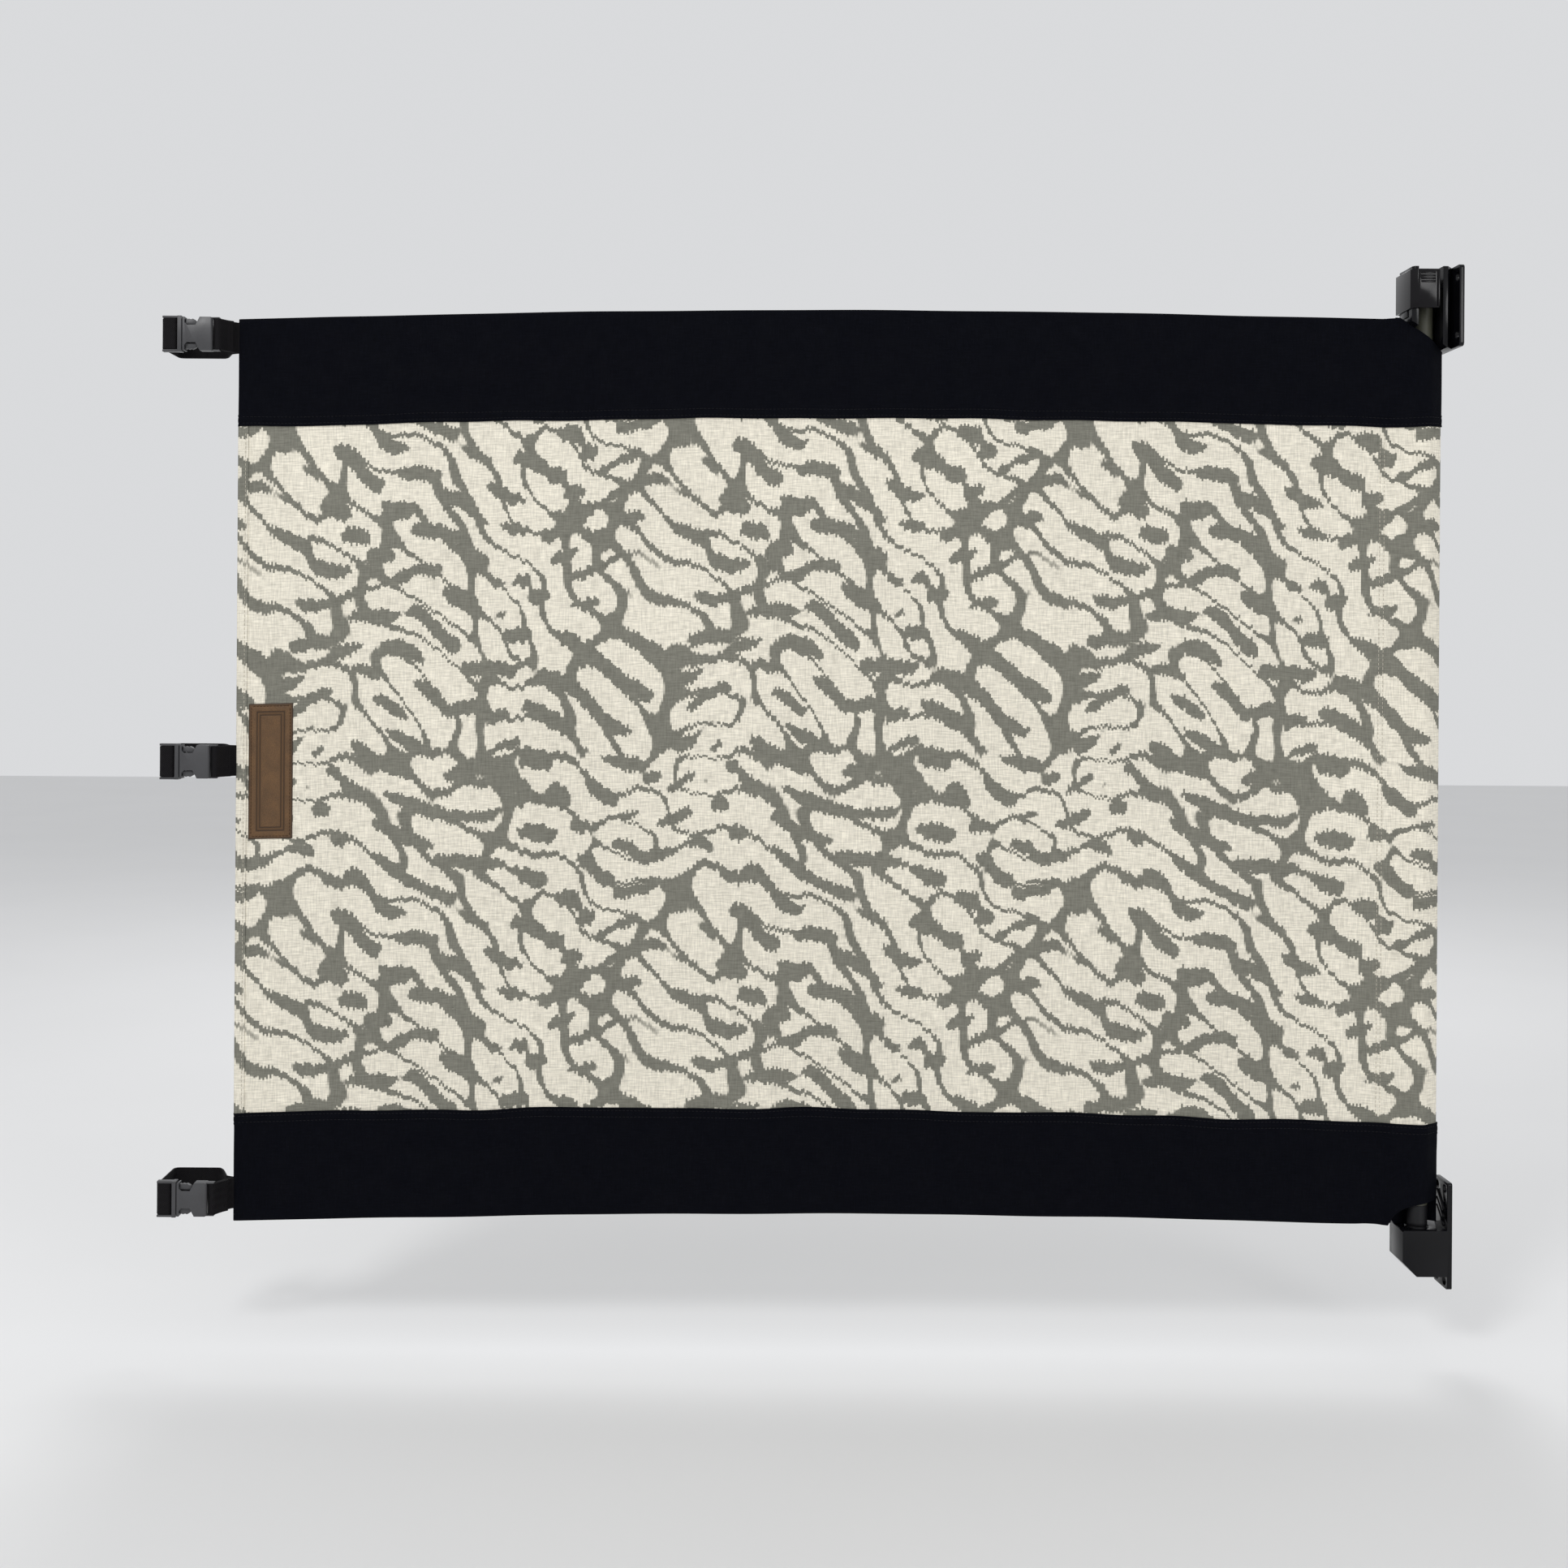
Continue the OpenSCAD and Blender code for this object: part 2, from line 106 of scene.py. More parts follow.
def distances(line):
    """Distance along a line at each of its points."""
    return np.concatenate([[0], np.cumsum(np.linalg.norm(np.diff(line, axis=0), axis=1))])


def waves(n, shortest, longest, seed):
    """A smooth random function of one length, from -1 to 1 or so, made of n waves."""
    r = np.random.default_rng(seed)
    k = 2 * math.pi / r.uniform(shortest, longest, n)
    phase = r.uniform(0, 2 * math.pi, n)
    return lambda x: sum(np.cos(a * np.asarray(x) + b) for a, b in zip(k, phase)) / math.sqrt(n)


# ---------------------------------------------------------------- mesh helpers

def mesh_object(name, points, faces, flat=None):
    mesh = bpy.data.meshes.new(name)
    mesh.from_pydata(np.asarray(points, float).tolist(), [], faces)
    mesh.polygons.foreach_set("use_smooth", [True] * len(mesh.polygons))
    if flat is not None:
        layer = mesh.attributes.new("flat", "FLOAT_VECTOR", "POINT")
        layer.data.foreach_set("vector", np.asarray(flat, np.float32).ravel())
    mesh.validate()
    obj = bpy.data.objects.new(name, mesh)
    bpy.context.scene.collection.objects.link(obj)
    return obj


class Build:
    """Points, faces and cloth coordinates gathered into one mesh."""

    def __init__(self):
        self.points, self.faces, self.flat = [], [], []

    def add(self, points, faces, flat):
        start = len(self.points)
        self.points += [tuple(p) for p in points]
        self.flat += [tuple(p) for p in flat]
        self.faces += [tuple(i + start for i in f) for f in faces]

    def sheet(self, grid, flat, thickness, relief=None, keep=None):
        """A sheet with thickness on a grid of points.

        relief raises its outer face, and keep says which cells are there.
        """
        n = np.cross(np.gradient(grid, axis=1), np.gradient(grid, axis=0))
        n /= np.maximum(np.linalg.norm(n, axis=2, keepdims=True), 1e-12)
        half = thickness / 2
        lift = half if relief is None else (half + relief)[..., None]
        rows, cols = grid.shape[:2]
        keep = np.ones((rows - 1, cols - 1), bool) if keep is None else keep
        count = rows * cols
        at = np.arange(count).reshape(rows, cols)
        quads = np.stack([at[:-1, :-1], at[:-1, 1:], at[1:, 1:], at[1:, :-1]], -1)[keep]
        faces = [tuple(q) for q in quads.tolist()]
        faces += [tuple(q + count for q in reversed(f)) for f in quads.tolist()]
        padded = np.pad(keep, 1)
        for (di, dj), (a, b) in {(-1, 0): ((0, 0), (0, 1)), (1, 0): ((1, 1), (1, 0)),
                                 (0, -1): ((1, 0), (0, 0)), (0, 1): ((0, 1), (1, 1))}.items():
            outside = ~padded[1 + di:rows + di, 1 + dj:cols + dj] & keep
            for i, j in np.argwhere(outside):
                p, q = int(at[i + a[0], j + a[1]]), int(at[i + b[0], j + b[1]])
                faces.append((q, p, p + count, q + count))
        self.add(np.concatenate([(grid + n * lift).reshape(-1, 3), (grid - n * half).reshape(-1, 3)]), faces,
                 np.concatenate([flat.reshape(-1, 3)] * 2))

    def tube(self, line, radius, sides=6, flatten=1.0, up=(0, -1, 0)):
        """A round or flattened tube along a line of points, with closed ends."""
        line = np.asarray(line, float)
        ahead = np.gradient(line, axis=0)
        ahead /= np.linalg.norm(ahead, axis=1, keepdims=True)
        across = np.cross(ahead, np.asarray(up, float))
        across /= np.maximum(np.linalg.norm(across, axis=1, keepdims=True), 1e-9)
        lift = np.cross(across, ahead)
        turn = 2 * math.pi * np.arange(sides) / sides
        rings = (line[:, None] + radius * np.cos(turn)[None, :, None] * across[:, None]
                 + radius * flatten * np.sin(turn)[None, :, None] * lift[:, None])
        n = len(line)
        at = np.arange(n * sides).reshape(n, sides)
        after = np.roll(at, -1, axis=1)
        quads = np.stack([at[:-1], after[:-1], after[1:], at[1:]], -1).reshape(-1, 4)
        faces = [tuple(q) for q in quads.tolist()]
        faces += [tuple(at[0][::-1].tolist()), tuple(at[-1].tolist())]
        along = distances(line)
        flat = np.stack([np.repeat(along, sides), np.tile(turn * radius, n), np.zeros(n * sides)], -1)
        self.add(rings.reshape(-1, 3), faces, flat)

    def stitches(self, line, pitch=3.2 * MM, share=0.72, radius=0.28 * MM, up=(0, -1, 0)):
        """Thread along a line: short stitches that dip into the cloth at both ends."""
        line = np.asarray(line, float)
        along = distances(line)
        dip = np.asarray(up, float) * radius * 1.6
        for start in np.arange(pitch * 0.3, along[-1] - pitch * share, pitch):
            at = start + pitch * share * np.linspace(0, 1, 5)
            piece = np.stack([np.interp(at, along, line[:, k]) for k in range(3)], -1)
            piece[0] -= dip
            piece[-1] -= dip
            self.tube(piece, radius, sides=5, up=up)

    def make(self, name, shape=np.asarray):
        return mesh_object(name, shape(self.points), self.faces, self.flat)


def spaced(lengths, total, step):
    """Positions along an edge: fine ones near each end, as in lengths, and about step apart in between."""
    near = np.asarray(lengths, float)
    middle = np.linspace(near[-1], total - near[-1], max(2, round((total - 2 * near[-1]) / step)))
    return np.concatenate([near[:-1], middle, total - near[:-1][::-1]])


def resampled(line, step):
    line = np.asarray(line, float)
    along = distances(line)
    at = np.linspace(0, along[-1], max(3, round(along[-1] / step)))
    return np.stack([np.interp(at, along, line[:, k]) for k in range(line.shape[1])], -1), at


def softened(line, times):
    """The line with its corners rounded, its ends kept."""
    line = np.array(line, float)
    for _ in range(times):
        line[1:-1] = (line[:-2] + 2 * line[1:-1] + line[2:]) / 4
    return line


# ---------------------------------------------------------------- the gate's cloth

TOP_CUT_W, TOP_CUT_H = 36.5 * MM, 28 * MM        # straight cut over the sleeve's mouth
BOTTOM_CUT_W, BOTTOM_CUT_H = 40 * MM, 19 * MM    # curved cut under it
BACK_CUT = 19 * MM                               # how much lower the back layer's curved cut is
HEM_W = 9 * MM                                   # width of a band's own folded hem
PATCH_LINES = (7 * MM, 9.5 * MM)                 # the patch's pressed frame lines, from its edge
PATCH_STITCH = 2.2 * MM                          # and its line of stitches
STITCH_ROWS = (2.4 * MM, 7.6 * MM)               # a band's two rows of stitching, from its edge
HEM_STITCH = 2.2 * MM                            # the post-side hem's row, from its edge
SEAM_ROWS = (1.5 * MM, 5 * MM)                   # the sleeve seam's rows, from where the layers part
SLEEVE_PATH = 52 * MM                            # length of a layer's line that bends round the rod
HEM_HELD, RIPPLE_RISE = 28 * MM, 70 * MM         # width by the hem that stays flat, and where ripples grow
RIPPLE_FADE = 12 * MM                            # width past the seam over which they end
GATHER_TOP, GATHER_FADE = 160 * MM, 120 * MM     # how high the gathers reach, and where they fade
# Ripples of the whole cloth: height in mm, wavelengths along X and Z in metres, phase
RIPPLES = ((0.9, 0.23, 1.2, 0.4), (0.5, 0.121, -0.9, 2), (0.4, 1.3, 0.41, 1))
# Gathers near the seam at the bottom: distance from it towards the hem, width and height, in mm
GATHERS = ((12, 7, 1.1), (-9, 6, -0.9), (-26, 9, 0.8))
seam_wander = waves(5, 70 * MM, 320 * MM, 11)
pucker = waves(9, 6 * MM, 17 * MM, 12)
drag = waves(8, 14 * MM, 45 * MM, 13)


def placed(points):
    """Points of the cloth as it hangs: bowed up in the middle, slightly rippled, gathered by the rod."""
    p = np.array(points, float)
    x, z = p[:, 0], p[:, 2]
    share = np.clip((x - HEM_X) / (SEAM_X - HEM_X), 0, 1)
    high = 0.5 + 0.5 * smooth((z - CLOTH_Z0) / (CLOTH_Z1 - CLOTH_Z0))
    p[:, 2] += ARCH * np.sin(math.pi * share) + high * (SAG * (share - 1) + LIFT * share)
    ripple = sum(height * np.cos(2 * math.pi * (x / across + z / up) + phase)
                 for height, across, up, phase in RIPPLES)
    low = smooth((CLOTH_Z0 + GATHER_TOP - z) / GATHER_FADE)
    for place, width, height in GATHERS:
        ripple += height * low * np.exp(-((x - SEAM_X + place * MM) / (width * MM)) ** 2)
    rise = smooth((x - HEM_X - HEM_HELD) / RIPPLE_RISE)
    fade = smooth((SEAM_X + RIPPLE_FADE - x) / RIPPLE_FADE)
    p[:, 1] += ripple * MM * rise ** 2 * fade
    return p


def layer_plan(half, start_x, end_x):
    """Plan of a cloth layer on the room side: from the hem, flat to the seam, round the rod, to the fold."""
    r = SLEEVE_R + half - GAP_HALF
    first = math.atan2(-half, SEAM_X - ROD_X) + math.acos(r / math.hypot(SEAM_X - ROD_X, half))
    turn = np.linspace(first, -math.acos(r / (end_x - ROD_X)), 12)
    nose = [[start_x, 0], [start_x, -0.6 * half], [start_x + 0.4 * half, -half]]
    line = nose + [[SEAM_X, -half]] + [[ROD_X + r * math.cos(a), r * math.sin(a)] for a in turn]
    line += [[end_x - 0.8 * MM, -1.8 * MM], [end_x, -0.8 * MM], [end_x, 0]]     # the fold's rounded tip
    return softened(resampled(line, 0.5 * MM)[0], 12)


class Plan:
    """A plan line that gives its points and outward normals at distances along it."""

    def __init__(self, line):
        self.line = line
        self.dist = distances(line)
        ahead = np.gradient(line, axis=0)
        ahead /= np.linalg.norm(ahead, axis=1, keepdims=True)
        self.normal = np.stack([ahead[:, 1], -ahead[:, 0]], -1)
        self.length = self.dist[-1]

    def at(self, s, of=None):
        of = self.line if of is None else of
        return np.stack([np.interp(s, self.dist, of[:, k]) for k in (0, 1)], -1)

    def columns(self, step):
        """Distances at which the mesh has a column: close at the hem's nose and round the sleeve."""
        sleeve = self.length - SLEEVE_PATH
        flat_part = np.arange(6 * MM, sleeve, step)
        return np.concatenate([np.array([0, 0.5, 1, 1.6, 2.4, 3.4, 4.6]) * MM, flat_part,
                               np.linspace(sleeve, self.length - 3 * MM, 40),
                               self.length - np.array([2.2, 1.5, 0.9, 0.4, 0]) * MM])


def top_edge(x):
    return CLOTH_Z1 - TOP_CUT_H * np.clip((x - FOLD_X) / TOP_CUT_W + 1, 0, 1)


def bottom_edge(x):
    curve = np.sqrt(1 - np.clip((FOLD_X - x) / BOTTOM_CUT_W, 0, 1) ** 2)
    return CLOTH_Z0 - LOW + (BOTTOM_CUT_H + LOW) * curve


def cloth_layer(name, side):
    """One layer of the panel: front at side 1, back at side -1."""
    plan = Plan(layer_plan(PANEL_HALF, panel_lo.x, FOLD_X - 0.5 * CLOTH_T))
    s = plan.columns(4 * MM)
    x, y = plan.at(s).T
    share = spaced(np.array([0, 1, 3, 6]) * MM, panel_hi.z - panel_lo.z, 5 * MM) / (panel_hi.z - panel_lo.z)
    low = np.maximum(bottom_edge(x) + 1 * MM, panel_lo.z)
    high = np.minimum(top_edge(x) - 1 * MM, panel_hi.z)
    z = low + share[:, None] * (high - low)
    grid = np.stack(np.broadcast_arrays(x, side * y, z), -1)
    flat = np.stack(np.broadcast_arrays(s, z, 0 * z), -1)
    if side < 0:
        grid, flat = grid[:, ::-1], flat[:, ::-1]
    build = Build()
    build.sheet(grid, flat, CLOTH_T)
    return build.make(name, placed)


def band(name, inner_z, outer_z, lean, seed):
    """A band folded over one long edge of the cloth, its own edges hemmed. Returns it and its stitching."""
    up = 1 if outer_z > inner_z else -1
    full, cap = abs(outer_z - inner_z), BAND_HALF
    plan = Plan(layer_plan(BAND_HALF, HEM_X + BAND_T / 2, FOLD_X + BAND_T / 2))
    s = plan.columns(2.6 * MM)
    x, y = plan.at(s).T
    inner = inner_z + 0.6 * MM * seam_wander(s + seed) + lean(x)
    edge = top_edge(x) if up > 0 else bottom_edge(x)
    round_top = cap * (1 - smooth((x - SEAM_X) / (6 * MM) + 1))
    height = np.abs(edge - inner) - round_top
    behind = height if up > 0 else height + BACK_CUT * smooth((x - FOLD_X + BOTTOM_CUT_W) / (12 * MM))
    near = 20 * MM
    fine = np.array([0, 0.4, 1, 1.6, 2, 2.4, 2.8, 3.4, 4.4, 5.8,
                     6.8, 7.2, 7.6, 8, 8.6, 9.2, 9.9, 11, 13, 16]) * MM
    d = np.concatenate([fine, np.linspace(near, full - cap - 3 * MM, 12),
                        full - cap - np.array([1.5, 0.6, 0]) * MM])

    def layer(height, side):
        rise = np.where(d[:, None] < near, d[:, None],
                        near + (d[:, None] - near) * (height - near) / (full - cap - near))
        return np.stack(np.broadcast_arrays(x, side * y, inner + up * rise), -1)

    front, back = layer(height, 1), layer(behind, -1)
    turn = np.linspace(0, math.pi, 8)[1:-1, None]
    narrow = np.minimum(1, -y / BAND_HALF)
    over = np.stack(np.broadcast_arrays(x, -BAND_HALF * narrow * np.cos(turn),
                                        inner + up * (height + round_top * np.sin(turn))), -1)
    grid = np.concatenate([front, over, back[::-1]])
    around = np.concatenate([d, d[-1] + cap * turn[:, 0], d[-1] + math.pi * cap + d[-1] - d[::-1]])
    flat = np.stack(np.broadcast_arrays(s, around[:, None], 0 * grid[..., 0]), -1)
    hem = 0.4 * MM * (1 - smooth((d - HEM_W) / (1.1 * MM)))
    for row in STITCH_ROWS:
        hem -= 0.28 * MM * np.exp(-((d - row) / (0.8 * MM)) ** 2)
    folds = (0.10 * MM * pucker(s + seed) * np.exp(-((d[:, None] - 5 * MM) / (5 * MM)) ** 2)
             + 0.22 * MM * drag(s + seed) * np.exp(-((d[:, None] - 14 * MM) / (9 * MM)) ** 2))
    relief = hem[:, None] + folds
    relief = np.concatenate([relief, np.zeros(over.shape[:2]), relief[::-1]])
    keep = np.ones((grid.shape[0] - 1, grid.shape[1] - 1), bool)
    keep[len(d) - 1:len(d) + len(turn), x[1:] > SEAM_X] = False
    if up < 0:
        grid, flat, relief, keep = grid[::-1], flat[::-1], relief[::-1], keep[::-1]
    build, thread = Build(), Build()
    build.sheet(grid, flat, BAND_T, relief, keep)
    cut = np.linspace(x.searchsorted(SEAM_X + 6 * MM), len(x) - 1, 30).round().astype(int)
    for side, cut_edge in ((1, edge), (-1, inner + up * behind)):
        edge_line = np.stack([x[cut], side * y[cut], cut_edge[cut]], -1)
        build.tube(edge_line, 0.85 * MM, flatten=0.8, up=(0, -side, 0))
        at = np.arange(4 * MM, plan.length - 2 * MM, 2 * MM)
        (px, py), (nx, ny) = plan.at(at).T, plan.at(at, plan.normal).T
        z0 = np.interp(at, s, inner)
        for row in STITCH_ROWS:
            lift = BAND_T / 2 + 0.25 * MM
            thread.stitches(np.stack([px + nx * lift, side * (py + ny * lift), z0 + up * row], -1),
                            up=(0, -side, 0))
    return build.make(name, placed), thread.make(name + "_stitching", placed)


def folded_hem(name):
    """The panel's post-side edge between the bands: its own cloth, turned round both layers and stitched."""
    depth = binding_hi.x - binding_lo.x
    half = BAND_HALF
    inner, bend, outer = binding_lo.x + depth, binding_lo.x + 0.9 * half, binding_lo.x + 0.35 * MM
    line = [[inner, half], [bend, half], [outer, 0.75 * half], [outer, 0],
            [outer, -0.75 * half], [bend, -half], [inner, -half]]
    plan = Plan(softened(resampled(line, 0.3 * MM)[0], 14))
    s = np.linspace(0, plan.length, 48)
    x, y = plan.at(s).T
    tuck = 4 * MM    # how far it goes under each band
    z = np.arange(binding_lo.z - tuck, binding_hi.z + tuck, 3.2 * MM)[:, None]
    grid = np.stack(np.broadcast_arrays(x, y, z), -1)
    flat = np.stack(np.broadcast_arrays(s - plan.length + depth - 2 * MM, z, 0 * grid[..., 0]), -1)
    ends = np.minimum(s, plan.length - s)
    groove = -0.22 * MM * np.exp(-((ends - HEM_STITCH) / (0.7 * MM)) ** 2)
    relief = groove + 0.09 * MM * pucker(z * 1.3) * np.exp(-((ends - 3 * MM) / (3 * MM)) ** 2)
    build = Build()
    build.sheet(grid, flat, BAND_T, relief)
    return build.make(name, placed)


def seam_stitching(name):
    """Thread of the post-side hem and of the sleeve's seam, on both faces of the panel."""
    thread = Build()
    z = np.arange(bottom_hi.z + 1 * MM, top_lo.z, 4 * MM)
    hem_lift, seam_lift = BAND_HALF + BAND_T / 2 - 0.05 * MM, PANEL_HALF + CLOTH_T / 2 + 0.1 * MM
    for side in (1, -1):
        for x, lift in ((binding_hi.x - HEM_STITCH, hem_lift),
                        *((SEAM_X - row, seam_lift) for row in SEAM_ROWS)):
            line = np.stack(np.broadcast_arrays(x, -side * lift, z), -1)
            thread.stitches(line, pitch=3.6 * MM, radius=0.25 * MM, up=(0, -side, 0))
    return thread.make(name, placed)


def patch(name):
    """A leather patch: worn edges, a line of stitches, and a plain double frame pressed into it."""
    w, h = patch_hi.x - patch_lo.x, patch_hi.z - patch_lo.z
    cx, cz = (patch_lo.x + patch_hi.x) / 2, (patch_lo.z + patch_hi.z) / 2
    thick = 1.1 * MM
    fine = np.array([0, 0.15, 0.5, 1, 1.4, 1.8, 2.2, 2.7, 3.2, 4]) * MM
    u = spaced(fine, w, 0.6 * MM) - w / 2
    v = (spaced(fine, h, 0.7 * MM) - h / 2)[:, None]
    edge = np.minimum(w / 2 - np.abs(u), h / 2 - np.abs(v))
    pressed = sum(smooth(1.5 - np.abs(edge - row) / (0.5 * MM)) for row in PATCH_LINES)
    relief = (-0.55 * MM * (1 - smooth(edge / (0.8 * MM)))
              - 0.22 * MM * np.exp(-((edge - PATCH_STITCH) / (0.5 * MM)) ** 2) - 0.35 * MM * pressed)
    grid = np.stack(np.broadcast_arrays(cx + u, patch_hi.y - thick / 2, cz + v), -1)
    flat = np.stack(np.broadcast_arrays(u, v, pressed), -1)
    build, thread = Build(), Build()
    build.sheet(grid, flat, thick, relief)
    a, b = w / 2 - PATCH_STITCH, h / 2 - PATCH_STITCH
    for start, end in (((-a, -b), (a, -b)), ((a, -b), (a, b)), ((a, b), (-a, b)), ((-a, b), (-a, -b))):
        at = np.linspace(start, end, 40)
        thread.stitches(np.stack([cx + at[:, 0], patch_hi.y - thick + 0 * at[:, 0], cz + at[:, 1]], -1),
                        pitch=2.8 * MM, radius=0.2 * MM)
    return build.make(name, placed), thread.make(name + "_stitching", placed)


def no_lean(x):
    return 0 * x


def lower_lean(x):
    """The bottom band's upper edge drops towards the rod."""
    return 2 * MM - 5 * MM * smooth((x - HEM_X) / (FOLD_X - HEM_X))


front = cloth_layer("front_cloth", 1)
back = cloth_layer("back_cloth", -1)
upper_band, upper_thread = band("top_band_cloth", top_lo.z, top_hi.z, no_lean, 0.0)
lower_band, lower_thread = band("bottom_band_cloth", bottom_hi.z, bottom_lo.z, lower_lean, 3.0)
hem = folded_hem("hem_cloth")
seams = seam_stitching("seam_stitching")
leather, leather_thread = patch("leather_patch")

# ---------------------------------------------------------------- webbing

WEB_W, WEB_T = 25.4 * MM, 1.5 * MM
TURN_R = 2.45 * MM            # the webbing's middle round a bar
POST_BACK = 27.75 * MM        # the webbing's middle behind the post


def ribbon(build, line, z, width=WEB_W):
    """Webbing along a plan line, its edges rounded."""
    line = softened(resampled(line, 0.5 * MM)[0], 6)
    line = resampled(line, 0.9 * MM)[0]
    plan = Plan(line)
    across = np.array([-1, -0.985, -0.95, -0.9, -0.6, -0.3, 0, 0.3, 0.6, 0.9, 0.95, 0.985, 1]) * width / 2
    grid = np.stack(np.broadcast_arrays(line[:, 0], line[:, 1], (z + across)[:, None]), -1)
    flat = np.stack(np.broadcast_arrays(plan.dist, across[:, None], 0 * grid[..., 0]), -1)
    edge = np.abs(across) / (width / 2)
    relief = -0.4 * MM * smooth((edge - 0.95) / 0.05) + 0.12 * MM * np.exp(-((edge - 0.93) / 0.03) ** 2)
    build.sheet(grid, flat, WEB_T, np.repeat(relief[:, None], len(line), 1))
    return plan


def arc(x, y, r, start, stop, steps=10):
    return [(x + r * math.cos(math.radians(a)), y + r * math.sin(math.radians(a)))
            for a in np.linspace(start, stop, steps)]


def strap(name):
    """One strap's webbing: tab, run to the back of the post, and wrap to the buckle's plug."""
    socket_lo, socket_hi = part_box(f"{name}_buckle_socket")
    plug_lo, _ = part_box(f"{name}_buckle_plug")
    z = (socket_lo.z + socket_hi.z) / 2
    y = (socket_lo.y + socket_hi.y) / 2
    bar = socket_hi.x - 2.2 * MM                        # the socket's bar
    ladder = plug_lo.x + 2.6 * MM                       # the plug's two bars
    plug_bar = ladder + 6.6 * MM
    left = plug_lo.x + 0.35 * MM                        # the wrap beside the post
    split = (socket_lo.x + socket_hi.x) / 2 - 8 * MM    # where run and wrap meet, behind the post
    inside = HEM_X + 5 * MM                             # ends sewn into the hem
    step = (HEM_X - bar) / 12

    build = Build()
    ribbon(build, [(bar + 9.6 * step, y + 9.9 * MM), (bar + 6 * step, y + 6.0 * MM),
                   (bar + 3.4 * step, y + 1.2 * MM), (bar + 2 * step, y - 1.6 * MM)]
           + arc(bar, y, TURN_R, 290, 65)
           + [(bar + 5 * step, y + 7.2 * MM), (bar + 9 * step, y + 13.2 * MM), (HEM_X - 0.6 * MM, -1.3 * MM),
              (inside, -1.0 * MM)], z)
    for along in (0.22, 0.62):      # two rows of stitches across the tab's turned end
        px, py = bar + (9.6 - 3.6 * along) * step, y + (9.9 - 3.9 * along) * MM
        thread_z = np.arange(z - 10.5 * MM, z + 10.6 * MM, 1 * MM)
        build.stitches(np.stack(np.broadcast_arrays(px + 0.62 * MM, py - 0.62 * MM, thread_z), -1),
                       pitch=2.6 * MM, up=(0.7, -0.7, 0))
    tab = build.make(f"{name}_tab_webbing")
    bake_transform(tab)

    build = Build()
    ribbon(build, [(inside, 1.0 * MM), (HEM_X - 0.6 * MM, 1.2 * MM), (HINGE_X - 5 * MM, 4.5 * MM),
                   (socket_hi.x - 4 * MM, POST_BACK - 5 * MM), (socket_hi.x - 8 * MM, POST_BACK),
                   (split, POST_BACK)], z)
    run = build.make(f"{name}_back_webbing")
    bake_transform(run)

    build = Build()
    ribbon(build, [(split, POST_BACK)] + arc(left + 4 * MM, POST_BACK - 4 * MM, 4 * MM, 90, 180)
           + [(left, -8 * MM)] + arc(ladder, y, TURN_R, 180, 270, 6) + arc(plug_bar, y, TURN_R, -90, 90)
           + [(ladder, y + TURN_R)], z)
    wrap = build.make(f"{name}_wrap_webbing")
    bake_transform(wrap)

    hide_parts(f"{name}_strap_tab")
    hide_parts(f"{name}_strap_loop")
    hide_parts(f"{name}_strap_tail")
    return [tab, run, wrap]


webbing = [piece for name in STRAPS for piece in strap(name)]

# ---------------------------------------------------------------- materials

def srgb(r, g, b):
    """A display colour, 0 to 255, as a linear colour."""
    def linear(c):
        c /= 255
        return ((c + 0.055) / 1.055) ** 2.4 if c > 0.04045 else c / 12.92
    return (linear(r), linear(g), linear(b), 1)


